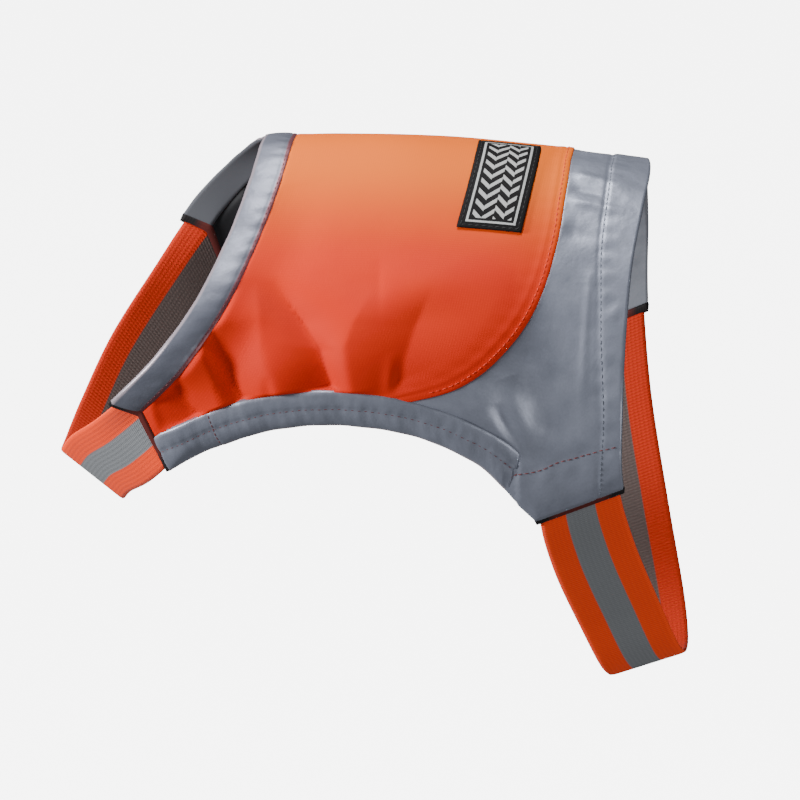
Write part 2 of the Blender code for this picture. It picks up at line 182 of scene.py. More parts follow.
def cloth_point(along, across):
    """Middle of the cloth's wall at a place on it, in mm."""
    along, across = np.broadcast_arrays(np.asarray(along, float), np.asarray(across, float))
    share = (along / BACK_LENGTH)[..., None]
    down = np.abs(across)[..., None]
    point = (ring_point(NECK_RING, down[..., 0] * NECK_CORNER) * (1 - share)
             + ring_point(TAIL_RING, down[..., 0] * TAIL_CORNER) * share)
    point[..., 2:] += 4 * CROWN * share * (1 - share) * (1 - down ** 2)
    reach = np.minimum(60 * (1 - down[..., 0]), CORNER_REACH)
    edge = sum(weight * lower_edge(along + step * reach) for step, weight in CORNER_BLUR)
    point += down ** EDGE_PULL * (edge - NECK_FOOT * (1 - share) - TAIL_FOOT * share)
    point[..., 1] *= np.where(across < 0, -1, 1)
    return point


def cloth_normal(along, across):
    """Outward direction of the cloth at a place on it."""
    reach_along, reach_across = 1.0, 0.01
    run = cloth_point(along + reach_along, across) - cloth_point(along - reach_along, across)
    fall = cloth_point(along, across + reach_across) - cloth_point(along, across - reach_across)
    normal = np.cross(run, fall)
    return normal / np.linalg.norm(normal, axis=-1, keepdims=True)


MIDDLE = cloth_point(BACK_LENGTH / 2, 0) - (0, 0, WALL / 2)


def raised(along, across, height):
    """Points in metres at a height in mm above the middle of the wall."""
    height = np.broadcast_to(height, np.broadcast(along, across).shape)[..., None]
    return (cloth_point(along, across) + height * cloth_normal(along, across) - MIDDLE) * MM


def spread(path, cells):
    """Evenly spaced places on a path, by real length; a path is a list of (along, across)."""
    path = np.array(path, float)
    steps = np.linalg.norm(np.diff(cloth_point(path[:, 0], path[:, 1]), axis=0), axis=1)
    length = np.concatenate(((0,), np.cumsum(steps)))
    share = np.linspace(0, length[-1], cells + 1)
    return np.stack([np.interp(share, length, column) for column in path.T], -1)


def line(start, stop, cells):
    """Evenly spaced places on the straight path between two places."""
    return spread(np.linspace(start, stop, 60), cells)


def joined(*paths):
    """Paths that follow each other, as one."""
    return np.concatenate([paths[0]] + [path[1:] for path in paths[1:]])


def moved(path, distance):
    """A path moved sideways on the cloth, in mm. A positive distance moves one that runs down
    towards the neck, and one that runs back downwards."""
    along, across = path.T
    by_along = cloth_point(along + 1.0, across) - cloth_point(along, across)
    by_across = (cloth_point(along, across) - cloth_point(along, across - 0.01)) / 0.01
    run = np.gradient(cloth_point(along, across), axis=0)
    side = np.cross(cloth_normal(along, across), run)
    side *= distance / np.linalg.norm(side, axis=-1, keepdims=True)
    basis = np.stack((by_along, by_across), -1)
    step = [np.linalg.lstsq(b, s, rcond=None)[0] for b, s in zip(basis, side)]
    return np.minimum(path + step, (BACK_LENGTH, 1.0))


def beside_arch(distance):
    """Places at a distance from the arch, from the chest strap to the belly strap's casing."""
    arch = lower_edge(np.linspace(ARCH_START, ARCH_STOP, 160))
    across = np.linspace(0.75, 1.0, 120)
    start = ARCH_START - (ARCH_START - NECK_BAND) * distance / FRONT_LENGTH
    stop = BAND_END + 3.0 * distance / ARCH_BAND
    path = [(start, 1.0)]
    for along in np.arange(start + 0.8, stop, 0.8):
        away = np.linalg.norm(cloth_point(along, across)[:, None] - arch[None], axis=-1).min(axis=1)
        path.append((along, np.interp(-distance, -away, across)))
    return np.array(path)


SEAM_LAP = 1.2             # how far the orange cloth laps over the grey at the rear seam
TUCK = 3.0                 # how far cloth runs on under a band or another panel
BAND_TOP = beside_arch(ARCH_BAND)
TUCK_LINE = beside_arch(ARCH_BAND - TUCK)
TUCK_FOOT = int(np.argmax(TUCK_LINE[:, 0] > smooth(REAR_SEAM, TUCK_LINE[:, 1])[:, 0]))


def seam_path(path, foot):
    """The rear seam, from the spine down to a place of a path beside the arch."""
    down = np.linspace(0, path[foot][1] - 0.01, 60)
    seam = np.stack((smooth(REAR_SEAM, down)[:, 0], down), -1)
    return np.concatenate((seam, path[foot:foot + 1]))


def patch(front, rear, spine, lower):
    """Places filling the area inside four paths, as an array of columns from the spine down."""
    q = np.linspace(0, 1, len(spine))[:, None, None]
    p = np.linspace(0, 1, len(front))[None, :, None]
    front, rear, spine, lower = front[None], rear[None], spine[:, None], lower[:, None]
    corners = ((1 - q) * ((1 - p) * spine[:1] + p * lower[:1])
               + q * ((1 - p) * spine[-1:] + p * lower[-1:]))
    return (1 - q) * front + q * rear + (1 - p) * spine + p * lower - corners


def both_sides(half):
    """A half's places, with the left side's before the right's."""
    return np.concatenate((half[:, :0:-1] * (1, -1), half), axis=1)


def bell(distance, width):
    return np.exp(-(distance / width) ** 2)


def ramp(value, start, stop):
    """0 before start, 1 after stop, smooth between."""
    f = np.clip((value - start) / (stop - start), 0, 1)
    return f * f * (3 - 2 * f)


FADE_POWER = 0.62          # under 1, a crease is highest nearer its first place
OTHER_SIDE = 40.0          # mm of depth past which a place is on the other side of the vest


def creases(rows, along, across):
    """Height of creases that run from one place to another and fade out at both ends; their widths
    are in mm along the cloth."""
    point = cloth_point(along, across)
    height = np.zeros(point.shape[:-1])
    for along_a, across_a, along_b, across_b, width, lift in rows:
        start = cloth_point(along_a, across_a)
        run = cloth_point(along_b, across_b) - start
        out = cloth_normal((along_a + along_b) / 2, (across_a + across_b) / 2)
        share = np.clip((point - start) @ run / (run @ run), 0, 1)
        off = point - start - share[..., None] * run
        depth = off @ out
        off = np.linalg.norm(off - depth[..., None] * out, axis=-1)
        fade = np.sin(math.pi * share ** FADE_POWER) * (np.abs(depth) < OTHER_SIDE)
        height += lift * fade * bell(off, width)
    return height


# The folds above the leg arches, on the side seen from the side: lines of crests and valleys that run
# up from the arch band towards the neck. The cloth turns softly over a crest and sharply in a valley.
FOLD_START = 2.5           # mm from a band over which a fold rises
FOLD_END = 11.0            # mm over which a line rises to its full height from its upper end
FOLD_SOFTNESS = 0.5        # 0 for flat facets between the lines, 1 for full curves over the crests
LEFT_FOLDS = (
    # height   drop, back    drop, back    drop, back    drop, back
    (0.0,    ((56.0, -52.0), (90.0, -44.0))),
    (-3.0,   ((66.0, -32.0), (75.0, -26.5), (83.2, -22.0), (90.1, -15.6))),
    (2.2,    ((52.0, -15.0), (64.3, -10.5), (82.0,  -3.9))),
    (-2.2,   ((45.7, -12.0), (54.6,  -7.4), (64.4,  -2.2), (79.7,   5.9))),
    (3.5,    ((34.5,   8.9), (45.0,  12.4), (55.7,  15.5), (72.8,  23.5))),
    (-4.8,   ((32.5,  17.7), (42.0,  30.0), (52.0,  40.5), (67.7,  46.2))),
    (2.9,    ((30.0,  64.0), (42.3,  56.0), (50.8,  53.0), (68.5,  56.5))),
    (-1.6,   ((30.0,  90.0), (42.3,  84.0), (55.0,  80.0), (72.0,  76.0))),
    (0.0,    ((30.0, 122.0), (60.0, 104.0), (80.0,  92.0))),
)
RIGHT_FOLDS = (
    # height   drop, back    drop, back    drop, back    drop, back
    (0.0,    ((56.0, -52.0), (90.0, -44.0))),
    (-2.2,   ((68.0, -31.0), (76.0, -25.0), (84.0, -20.0), (91.0, -13.0))),
    (1.9,    ((54.0, -13.0), (66.0,  -8.0), (83.0,   0.0))),
    (-1.9,   ((48.0, -10.0), (56.0,  -3.0), (66.0,   2.0), (80.0,  11.0))),
    (3.2,    ((36.0,  12.0), (47.0,  17.0), (57.0,  22.0), (74.0,  31.0))),
    (-4.2,   ((33.0,  24.0), (44.0,  36.0), (55.0,  45.0), (68.0,  50.0))),
    (2.5,    ((32.0,  68.0), (43.0,  61.0), (52.0,  59.0), (69.0,  62.0))),
    (-1.5,   ((32.0,  94.0), (44.0,  88.0), (56.0,  84.0), (72.0,  79.0))),
    (0.0,    ((32.0, 124.0), (60.0, 106.0), (80.0,  94.0))),
)
BACK_CREASES = (
    # along  across  along  across  width  lift
    (14.0,  -0.95,   24.0, -0.98,   2.5,    0.8),
    (52.0,  -0.865,  46.0, -0.78,   1.8,   -1.0),
    (95.0,  -0.88,   90.0, -0.72,   2.6,    0.9),
    (76.0,  -0.52,  134.0, -0.48,  12.0,    1.5),
    (20.0,  -0.20,   45.0, -0.48,  12.0,   -0.5),
    (64.0,   0.865,  58.0,  0.78,   1.8,   -0.9),
    (99.0,   0.88,   94.0,  0.70,   2.6,    0.8),
    (80.0,   0.54,  132.0,  0.50,  12.0,    1.4),
    (24.0,   0.16,   52.0,  0.42,  12.0,    0.5),
)


def fold_lines(rows, back, drop):
    """Height of folds whose crests and valleys follow the rows, at places seen from the side."""
    height = np.zeros(back.shape)
    for (lift_a, line_a), (lift_b, line_b) in zip(rows, rows[1:]):
        start, stop = (np.interp(drop, *np.array(path).T) for path in (line_a, line_b))
        low, high = (lift * ramp(drop, path[0][0] - FOLD_END / 4, path[0][0] + FOLD_END)
                     for lift, path in ((lift_a, line_a), (lift_b, line_b)))
        share = np.clip((back - start) / np.maximum(stop - start, 1.0), 0, 1)
        turned = np.sin(share * math.pi / 2) if lift_b > lift_a else 1 - np.cos(share * math.pi / 2)
        share = share + (turned - share) * FOLD_SOFTNESS
        height = np.where((back >= start) & (back < stop), low + (high - low) * share, height)
    return height


def fold_height(along, across):
    """How far the folds lift the back panel from the plain form."""
    rise = (np.interp(along, BAND_TOP[:, 0], BAND_TOP[:, 1]) - np.abs(across)) * COLUMN
    free = ramp(along - NECK_BAND, 0.0, FOLD_START) * ramp(rise, 0.0, FOLD_START)
    point = cloth_point(along, across)
    left, right = (fold_lines(rows, point[..., 0], -point[..., 2]) for rows in (LEFT_FOLDS, RIGHT_FOLDS))
    folds = np.where(across < 0, left, right)
    return (folds + creases(BACK_CREASES, along, across)) * free


def to_seam(along, across):
    """How far in front of the rear seam a place lies, in mm."""
    down = np.abs(across)
    seam = smooth(REAR_SEAM, np.clip(down, 0, 0.95))[..., 0]
    slope = (smooth(REAR_SEAM, np.clip(down + 0.01, 0, 0.96))[..., 0] - seam) / (0.01 * COLUMN)
    return (seam - along) / np.sqrt(1 + slope ** 2)


def back_outer(along, across):
    """Height of the back panel's outer side above the plain form."""
    off_seam = ramp(to_seam(along, across), 2.0, 14.0)
    lap = 0.45 * ramp(-to_seam(along, across), -7.0, -2.0)
    groove = 0.35 * bell(to_seam(along, across) - 2.2, 0.9)
    pucker = 0.12 * np.sin(np.abs(across) * COLUMN * 0.85) * bell(to_seam(along, across) - 3.0, 5.0)
    back, side, up = np.moveaxis(cloth_point(along, across), -1, 0)
    wave = (0.25 * np.sin(back / 19 + up / 24 + 0.7) * np.sin(up / 13 - back / 33 + side / 70)
            + 0.08 * np.sin(back / 8.3 - up / 10.1 + side / 15))
    rise = (np.interp(along, BAND_TOP[:, 0], BAND_TOP[:, 1]) - np.abs(across)) * COLUMN
    into_band = np.minimum(along - NECK_BAND, rise)
    wave = wave * ramp(into_band, 0, 8)
    under = 0.7 * (1 - ramp(into_band, -0.8, 0.8))
    return WALL / 2 + fold_height(along, across) * off_seam + lap - groove + pucker + wave - under


def outward_order(outer, inner):
    """Whether rows and columns of a grid turn the right way round for its outer side."""
    i, j = outer.shape[0] // 2, outer.shape[1] // 2
    turned = np.cross(outer[i + 1, j] - outer[i, j], outer[i, j + 1] - outer[i, j])
    return np.dot(turned, outer[i, j] - inner[i, j]) > 0


def shell(name, outer, inner, flat, materials):
    """A closed piece of cloth between two grids of points, with a rounded rim. flat holds each
    point's place on the cut cloth in mm, which the patterns of its material follow."""
    if not outward_order(outer, inner):
        outer, inner, flat = outer[:, ::-1], inner[:, ::-1], flat[:, ::-1]
    rows, columns = outer.shape[:2]
    index = np.arange(rows * columns).reshape(rows, columns)
    quads = np.stack((index[:-1, :-1], index[1:, :-1], index[1:, 1:], index[:-1, 1:]), -1).reshape(-1, 4)
    loop = np.concatenate((index[:, 0], index[-1, 1:], index[-2::-1, -1], index[0, -2:0:-1]))
    i, j = np.unravel_index(loop, (rows, columns))
    inside_i, inside_j = np.clip(i, 1, rows - 2), np.clip(j, 1, columns - 2)
    away = outer[i, j] - outer[inside_i, inside_j]
    away /= np.linalg.norm(away, axis=-1, keepdims=True)
    gap = np.linalg.norm(outer[i, j] - inner[i, j], axis=-1, keepdims=True)
    rim = (outer[i, j] + inner[i, j]) / 2 + away * gap * 0.45
    count = rows * columns
    points = np.concatenate((outer.reshape(-1, 3), inner.reshape(-1, 3), rim))
    middle = 2 * count + np.arange(len(loop))
    after = np.roll(np.arange(len(loop)), -1)
    upper = np.stack((loop, middle, middle[after], loop[after]), -1)
    lower = np.stack((middle, loop + count, loop[after] + count, middle[after]), -1)
    faces = np.concatenate((quads, upper, lower, quads[:, ::-1] + count))
    mesh = bpy.data.meshes.new(name)
    mesh.from_pydata(points.tolist(), [], faces.tolist())
    mesh.update()
    for material in materials:
        mesh.materials.append(material)
    if len(materials) > 1:
        side = np.zeros(len(faces), np.int32)
        side[len(quads) + len(upper):] = 1
        mesh.polygons.foreach_set("material_index", side)
    places = np.concatenate((flat.reshape(-1, 2), flat.reshape(-1, 2), flat[i, j]))
    corners = np.zeros(len(mesh.loops), np.int32)
    mesh.loops.foreach_get("vertex_index", corners)
    mesh.uv_layers.new(name="cut").uv.foreach_set("vector", places[corners].astype(np.float32).ravel())
    mesh.shade_smooth()
    obj = bpy.data.objects.new(name, mesh)
    bpy.context.scene.collection.objects.link(obj)
    return obj


def srgb(code):
    """An sRGB hex colour as linear RGBA."""
    values = [int(code[i:i + 2], 16) / 255 for i in (1, 3, 5)]
    return [v / 12.92 if v <= 0.04045 else ((v + 0.055) / 1.055) ** 2.4 for v in values] + [1.0]


def add(tree, kind, inputs=(), **settings):
    """Adds a node with its settings, and gives its inputs values or links."""
    node = tree.nodes.new(kind)
    for key, value in settings.items():
        setattr(node, key, value)
    for key, value in dict(inputs).items():
        if isinstance(value, bpy.types.NodeSocket):
            tree.links.new(value, node.inputs[key])
        else:
            node.inputs[key].default_value = value
    return node


def new_material(name, **values):
    """A material with values on its shader's own sockets; gives its node tree and shader too."""
    material = bpy.data.materials.new(name)
    material.use_nodes = True
    tree = material.node_tree
    shader = tree.nodes["Principled BSDF"]
    for key, value in values.items():
        shader.inputs[key.replace("_", " ")].default_value = value
    return material, tree, shader


# Plain-woven polyester dyed hi-vis orange, bright, with a soft sheen and a faint weave. Its colour also
# carries painted light: lighter near the spine as a painted highlight, deeper red low down as painted shade.
# Threads are about 0.3 mm apart, drawn 1.1 mm apart so that they show.
WEAVE = 1.1
orange_polyester, tree, shader = new_material(
    "hi_vis_orange_polyester", Roughness=0.72, Specular_IOR_Level=0.2, Sheen_Weight=0.05,
    Sheen_Roughness=0.45)
shader.inputs["Sheen Tint"].default_value = srgb("#FFA060")
place = add(tree, "ShaderNodeTexCoord").outputs["UV"]
warp = add(tree, "ShaderNodeTexWave", {"Vector": place, "Scale": math.pi / 10 / WEAVE},
           bands_direction="X").outputs["Fac"]
weft = add(tree, "ShaderNodeTexWave", {"Vector": place, "Scale": math.pi / 10 / WEAVE},
           bands_direction="Y").outputs["Fac"]
weave = add(tree, "ShaderNodeMath", {0: warp, 1: weft}, operation="MULTIPLY").outputs[0]
cloudy = add(tree, "ShaderNodeTexNoise", {"Vector": place, "Scale": 0.035, "Detail": 3.0})
tone = add(tree, "ShaderNodeMapRange",
           {"Value": cloudy.outputs["Fac"], "From Min": 0.35, "From Max": 0.65}).outputs["Result"]
dye_and_painted_light = add(tree, "ShaderNodeMix", {"Factor": tone, "A": srgb("#E42E04"), "B": srgb("#EA3606")},
          data_type="RGBA").outputs["Result"]
down = add(tree, "ShaderNodeMath", {0: add(tree, "ShaderNodeSeparateXYZ", {"Vector": place}).outputs["Y"]},
           operation="ABSOLUTE").outputs[0]
# Painted highlight: the dye is mixed towards a lighter orange near the spine, where the light from above falls.
painted_top_light = add(tree, "ShaderNodeMapRange", {"Value": down, "From Min": 15.0, "From Max": 75.0,
                                         "To Min": 0.95, "To Max": 0.0},
            interpolation_type="SMOOTHSTEP").outputs["Result"]
dye_and_painted_light = add(tree, "ShaderNodeMix", {"Factor": painted_top_light, "A": dye_and_painted_light, "B": srgb("#FF7604")},
          data_type="RGBA").outputs["Result"]
# Painted shade: the dye is mixed towards a deeper red towards the lower edge, which faces away from the light
# above.
painted_low_shade = add(tree, "ShaderNodeMapRange", {"Value": down, "From Min": 50.0, "From Max": 120.0,
                                        "To Min": 0.0, "To Max": 0.45},
           interpolation_type="SMOOTHSTEP").outputs["Result"]
dye_and_painted_light = add(tree, "ShaderNodeMix", {"Factor": painted_low_shade, "A": dye_and_painted_light, "B": srgb("#CE1C00")},
          data_type="RGBA").outputs["Result"]
thread_tone = add(tree, "ShaderNodeMix", {"Factor": weave, "A": (0.93, 0.93, 0.93, 1.0), "B": (1, 1, 1, 1)},
                  data_type="RGBA").outputs["Result"]
colour = add(tree, "ShaderNodeMix", {"Factor": 1.0, "A": dye_and_painted_light, "B": thread_tone}, data_type="RGBA",
             blend_type="MULTIPLY").outputs["Result"]
tree.links.new(colour, shader.inputs["Base Color"])
bump = add(tree, "ShaderNodeBump", {"Height": weave, "Strength": 0.25, "Distance": 0.0001})
tree.links.new(bump.outputs["Normal"], shader.inputs["Normal"])

# Polyurethane coating on the inner side of the cloth: dark grey and dull, with a faint grain.
dark_coating, tree, shader = new_material("dark_polyurethane_coating", Roughness=0.7,
                                          Specular_IOR_Level=0.3)
grain = add(tree, "ShaderNodeTexNoise", {"Vector": add(tree, "ShaderNodeTexCoord").outputs["UV"],
                                         "Scale": 0.8, "Detail": 2.0}).outputs["Fac"]
colour = add(tree, "ShaderNodeMix", {"Factor": grain, "A": srgb("#131417"), "B": srgb("#1D1E22")},
             data_type="RGBA").outputs["Result"]
tree.links.new(colour, shader.inputs["Base Color"])

BACK_COLUMNS = 132
BACK_CELLS = 116
PANEL_THICK = 1.1
front = line((NECK_BAND - TUCK, 0), (NECK_BAND - TUCK, 1.0), BACK_CELLS)
rear = moved(spread(seam_path(TUCK_LINE, TUCK_FOOT), BACK_CELLS), -SEAM_LAP)
foot = int(np.argmax(TUCK_LINE[:, 0] > rear[-1, 0]))
rear[-8:] += (TUCK_LINE[foot] - rear[-1]) * np.linspace(0, 1, 8)[:, None]
lower = spread(np.concatenate((front[-1:], TUCK_LINE[:foot + 1])), BACK_COLUMNS)
places = both_sides(patch(front, rear, line(front[0], rear[0], BACK_COLUMNS), lower))
along, across = places[..., 0], places[..., 1]
height = back_outer(along, across)
back_panel = shell("back_panel_cloth", raised(along, across, height),
                   raised(along, across, height - PANEL_THICK),
                   np.stack((along, across * COLUMN), -1), (orange_polyester, dark_coating))


def stitch_row(name, path, normals, material, pitch=3.1, length=2.3, thick=0.5):
    """A row of lockstitches along a path of points in metres, each a short piece of thread whose
    ends go down into the cloth."""
    steps = np.linalg.norm(np.diff(path, axis=0), axis=1)
    reach = np.concatenate(((0,), np.cumsum(steps))) / MM
    starts = np.arange(0.5, reach[-1] - length, pitch)
    ring = 6
    share = np.linspace(0, 1, 5)
    at = starts[:, None] + share * length
    centre = np.stack([np.interp(at, reach, column) for column in path.T], -1)
    up = np.stack([np.interp(at, reach, column) for column in normals.T], -1)
    up /= np.linalg.norm(up, axis=-1, keepdims=True)
    run = np.gradient(centre, axis=1)
    run /= np.linalg.norm(run, axis=-1, keepdims=True)
    side = np.cross(run, up)
    centre = centre + up * (np.sin(math.pi * share) * 0.35 - 0.2)[None, :, None] * thick * MM
    width = thick / 2 * MM * (0.55 + 0.45 * np.sin(math.pi * share))[None, :, None, None]
    turn = np.arange(ring) * 2 * math.pi / ring
    circle = (up[:, :, None] * np.sin(turn)[:, None] + side[:, :, None] * np.cos(turn)[:, None])
    points = (centre[:, :, None] + circle * width).reshape(-1, 3)
    a = np.arange(4)[:, None] * ring + np.arange(ring)
    b = np.arange(4)[:, None] * ring + (np.arange(ring) + 1) % ring
    tube = np.stack((a, b, b + ring, a + ring), -1).reshape(-1, 4)
    one = len(share) * ring
    shift = np.arange(len(starts))[:, None] * one
    faces = (tube[None] + shift[..., None]).reshape(-1, 4).tolist()
    faces += (np.arange(ring)[::-1] + shift).tolist()
    faces += (np.arange(ring) + one - ring + shift).tolist()
    mesh = bpy.data.meshes.new(name)
    mesh.from_pydata(points.tolist(), [], faces)
    mesh.update()
    mesh.materials.append(material)
    mesh.shade_smooth()
    obj = bpy.data.objects.new(name, mesh)
    bpy.context.scene.collection.objects.link(obj)
    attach(obj, "root")
    return obj


def skin_path(places, outer, cells=400):
    """Points and outward directions along a path of places, on a piece's outer side."""
    places = spread(places, cells)
    along, across = places.T
    return raised(along, across, outer(along, across)), cloth_normal(along, across)


# Spun polyester sewing thread, orange on the orange cloth.
orange_thread, tree, shader = new_material("orange_polyester_thread", Roughness=0.6)
shader.inputs["Base Color"].default_value = srgb("#D8381A")

seam_places = both_sides(moved(seam_path(TUCK_LINE, TUCK_FOOT)[:-4], 1.0)[None])[0]
rear_seam_stitches = stitch_row("rear_seam_stitches", *skin_path(seam_places, back_outer), orange_thread)
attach(back_panel, "root")
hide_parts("back_panel")


# ---- Rear panel ----
# Retroreflective grey cloth round the tail end, sewn under the orange cloth in a curved seam. Its
# tail edge is turned under as a hem, and its two lower ends are folded up over the belly strap.

HEM_LINE = (
    # across  along
    (0.00,   166.2),
    (0.37,   169.8),
    (0.49,   172.1),
    (0.60,   173.8),
    (0.70,   175.6),
    (0.80,   176.8),
    (0.90,   176.6),
    (1.00,   175.6),
)
CASING_LINE = (
    # along  across
    (142.0,  0.965),
    (145.0,  0.930),
    (149.5,  0.902),
    (155.5,  0.886),
    (168.0,  0.880),
    (184.0,  0.875),
)
CASING_TOP = 0.86
REAR_CREASES = (
    # along  across  along  across  width  lift
    (147.0, -0.08,  183.0, -0.11,   3.0,    0.9),
    (148.0, -0.20,  182.0, -0.22,   2.6,    0.8),
    (149.0, -0.15,  176.0, -0.17,   2.2,   -0.7),
    (150.0, -0.30,  170.0, -0.34,   4.0,   -0.7),
    (166.0, -0.42,  168.5, -0.86,   1.6,    0.5),
    (143.0, -0.66,  166.0, -0.68,   3.5,    0.7),
    (134.0, -0.80,  147.0, -0.90,   3.0,   -1.0),
    (138.0, -0.72,  150.0, -0.86,   4.0,    0.8),
    (128.0, -0.86,  140.0, -0.90,   2.5,    0.6),
    (152.0, -0.80,  170.0, -0.84,   4.0,   -0.6),
    (176.0, -0.55,  183.0, -0.50,   3.0,    0.5),
    (173.0, -0.72,  183.0, -0.76,   3.0,   -0.5),
    (148.0,  0.10,  182.0,  0.14,   3.0,    0.8),
    (150.0,  0.25,  174.0,  0.29,   3.5,   -0.7),
    (166.0,  0.45,  168.5,  0.86,   1.6,    0.5),
    (146.0,  0.60,  168.0,  0.58,   4.0,    0.7),
    (136.0,  0.78,  148.0,  0.89,   3.5,   -0.9),
    (132.0,  0.85,  160.0,  0.80,   4.0,    0.6),
    (174.0,  0.40,  183.0,  0.44,   3.0,    0.5),
)


def rear_outer(along, across):
    """Height of the rear panel's outer side above the plain form."""
    down = np.abs(across)
    under = 1.15 * ramp(to_seam(along, across), -1.6, -0.4)
    hem = along - smooth(HEM_LINE, down)[..., 0]
    casing = (down - smooth(CASING_LINE, np.clip(along, 142, 184))[..., 0]) * COLUMN
    doubled = np.maximum(ramp(hem, -0.8, 1.2), ramp(casing, -0.8, 1.2))
    full = 0.3 * bell(casing - 10, 6.0)
    groove = 0.3 * np.maximum(bell(hem + 1.2, 0.8), bell(casing - 1.0, 0.8))
    pucker = 0.14 * np.sin(down * COLUMN * 0.75 + across) * bell(hem - 2.0, 4.0)
    pucker = pucker + 0.14 * np.sin(along * 0.7) * bell(casing - 2.0, 4.0)
    wave = 0.16 * np.sin(along / 11 + across * 13) + 0.08 * np.sin(along / 5.1 - across * 37 + 1.0)
    rise = (np.interp(along, BAND_TOP[:, 0], BAND_TOP[:, 1], right=1.5) - down) * COLUMN
    under = np.maximum(under, 0.7 * (1 - ramp(rise, -0.8, 0.8)))
    free = ramp(np.minimum(-to_seam(along, across), rise), 0, 8)
    return (WALL / 2 - under + 0.5 * doubled + full - groove + pucker
            + (wave + creases(REAR_CREASES, along, across)) * free)


# Cloth faced with tiny glass beads: an even blue-grey that is brighter towards the light, with a
# fine grain. Beads are under 0.1 mm, so the grain is drawn 0.9 mm wide.
BEADS = 0.9
reflective_grey, tree, shader = new_material(
    "glass_bead_reflective_grey", Roughness=0.45, Metallic=0.4, Specular_IOR_Level=0.5)
place = add(tree, "ShaderNodeTexCoord").outputs["UV"]
beads = add(tree, "ShaderNodeTexNoise", {"Vector": place, "Scale": 1 / BEADS, "Detail": 1.0}).outputs["Fac"]
cloudy = add(tree, "ShaderNodeTexNoise", {"Vector": place, "Scale": 0.09, "Detail": 3.0}).outputs["Fac"]
tone = add(tree, "ShaderNodeMapRange",
           {"Value": cloudy, "From Min": 0.35, "From Max": 0.65}).outputs["Result"]
base = add(tree, "ShaderNodeMix", {"Factor": tone, "A": srgb("#838897"), "B": srgb("#8F94A4")},
           data_type="RGBA").outputs["Result"]
speck = add(tree, "ShaderNodeMix", {"Factor": beads, "A": (0.88, 0.88, 0.88, 1), "B": (1.06, 1.06, 1.06, 1)},
            data_type="RGBA").outputs["Result"]
colour = add(tree, "ShaderNodeMix", {"Factor": 1.0, "A": base, "B": speck}, data_type="RGBA",
             blend_type="MULTIPLY").outputs["Result"]
tree.links.new(colour, shader.inputs["Base Color"])
crumple = add(tree, "ShaderNodeTexNoise", {"Vector": place, "Scale": 0.16, "Detail": 2.0}).outputs["Fac"]
bump = add(tree, "ShaderNodeBump", {"Height": crumple, "Strength": 0.35, "Distance": 0.0007})
bump = add(tree, "ShaderNodeBump", {"Height": beads, "Strength": 0.2, "Distance": 0.0001,
                                    "Normal": bump.outputs["Normal"]})
tree.links.new(bump.outputs["Normal"], shader.inputs["Normal"])

# The back of the same cloth: undyed grey polyester, duller and darker.
grey_backing, tree, shader = new_material("grey_polyester_backing", Roughness=0.75,
                                          Specular_IOR_Level=0.3)
grain = add(tree, "ShaderNodeTexNoise", {"Vector": add(tree, "ShaderNodeTexCoord").outputs["UV"],
                                         "Scale": 0.8, "Detail": 2.0}).outputs["Fac"]
colour = add(tree, "ShaderNodeMix", {"Factor": grain, "A": srgb("#757982"), "B": srgb("#83868F")},
             data_type="RGBA").outputs["Result"]
tree.links.new(colour, shader.inputs["Base Color"])

REAR_COLUMNS = (14, 40)
REAR_SEAM_CELLS = 110
REAR_BAND_CELLS = 34
REAR_END_CELLS = 14
band_rear = spread(TUCK_LINE[TUCK_FOOT - 4:], REAR_BAND_CELLS)
band_end = line(TUCK_LINE[-1], (BAND_END - 2.0, 1.0), REAR_END_CELLS)
seam = moved(spread(seam_path(TUCK_LINE, TUCK_FOOT), REAR_SEAM_CELLS), TUCK)
front = joined(seam, band_rear, band_end)
front[:REAR_SEAM_CELLS + 1] += ((band_rear[0] - front[REAR_SEAM_CELLS])
                                * ramp(np.arange(REAR_SEAM_CELLS + 1), REAR_SEAM_CELLS - 12,
                                       REAR_SEAM_CELLS)[:, None])
rear = joined(line((BACK_LENGTH, 0), (BACK_LENGTH, CASING_TOP), REAR_SEAM_CELLS + REAR_BAND_CELLS),
              line((BACK_LENGTH, CASING_TOP), (BACK_LENGTH, 1.0), REAR_END_CELLS))
lower = joined(line(front[-1], (ARCH_STOP, 1.0), REAR_COLUMNS[0]),
               line((ARCH_STOP, 1.0), rear[-1], REAR_COLUMNS[1]))
places = both_sides(patch(front, rear, line(front[0], rear[0], len(lower) - 1), lower))
along, across = places[..., 0], places[..., 1]
height = rear_outer(along, across)
rear_panel = shell("rear_panel_cloth", raised(along, across, height),
                   raised(along, across, height - 1.5),
                   np.stack((along, across * COLUMN), -1), (reflective_grey, grey_backing))

# Reddish-brown sewing thread, as on the casing and the bands.
brown_thread, tree, shader = new_material("brown_polyester_thread", Roughness=0.6)
shader.inputs["Base Color"].default_value = srgb("#6A3236")
# Grey sewing thread of the hem, a little darker than the cloth.
grey_thread, tree, shader = new_material("grey_polyester_thread", Roughness=0.6)
shader.inputs["Base Color"].default_value = srgb("#5A5F6B")

hem_row = np.array(HEM_LINE)[:, ::-1]
hem_row = np.stack((smooth(HEM_LINE, np.linspace(0, 0.995, 80))[:, 0], np.linspace(0, 0.995, 80)), -1)
hem_stitches = stitch_row("hem_stitches", *skin_path(both_sides(hem_row[None])[0], rear_outer), grey_thread)
for side_name, side in (("left", -1), ("right", 1)):
    casing_row = np.linspace(CASING_LINE[0][0], CASING_LINE[-1][0] - 1, 60)
    casing_row = np.stack((casing_row, side * smooth(CASING_LINE, casing_row)[:, 0]), -1)
    stitch_row("casing_stitches_" + side_name,
                                    *skin_path(casing_row, rear_outer), brown_thread, thick=0.6)
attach(rear_panel, "root")
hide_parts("rear_panel")


